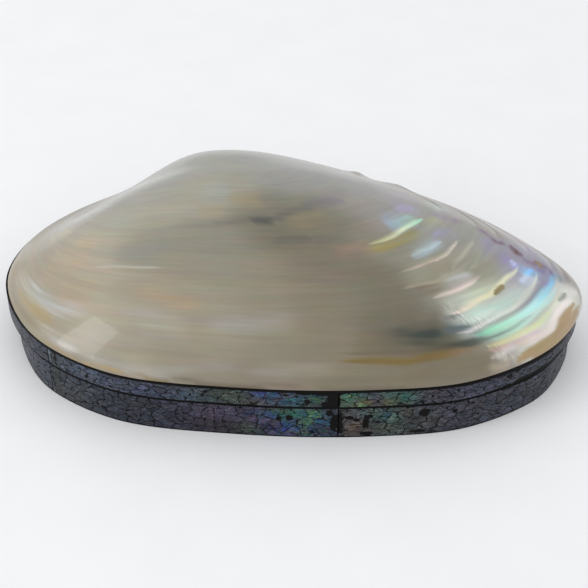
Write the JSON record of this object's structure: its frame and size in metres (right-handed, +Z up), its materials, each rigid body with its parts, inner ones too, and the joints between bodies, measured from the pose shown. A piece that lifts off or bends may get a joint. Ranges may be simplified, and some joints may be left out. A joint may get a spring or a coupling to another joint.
{
  "type": "shell box",
  "caption": "Oval keepsake box with a hollow mother-of-pearl mussel-shell lid on a black frame, a shallow black tray and crackled paua-shell side strips.",
  "frame": {"origin": "middle of the box's underside, under the middle of its bounding box", "axes": "+X to the narrow end of the shell, along the length; +Y to the hinge edge of the shell, the back; +Z up"},
  "size_m": [0.1821, 0.1188, 0.0488],
  "materials": {
    "nacre": "polished mother-of-pearl",
    "black_resin": "black lacquered resin",
    "crackled_paua": "crackled paua shell chips in black resin, polished"
  },
  "bodies": {
    "root": {"shell_lid": "nacre", "lid_frame": "black_resin", "lid_strip_front": "crackled_paua", "lid_strip_round": "crackled_paua", "box_tray": "black_resin", "box_strip_front": "crackled_paua", "box_strip_round": "crackled_paua"}
  },
  "joints": []
}
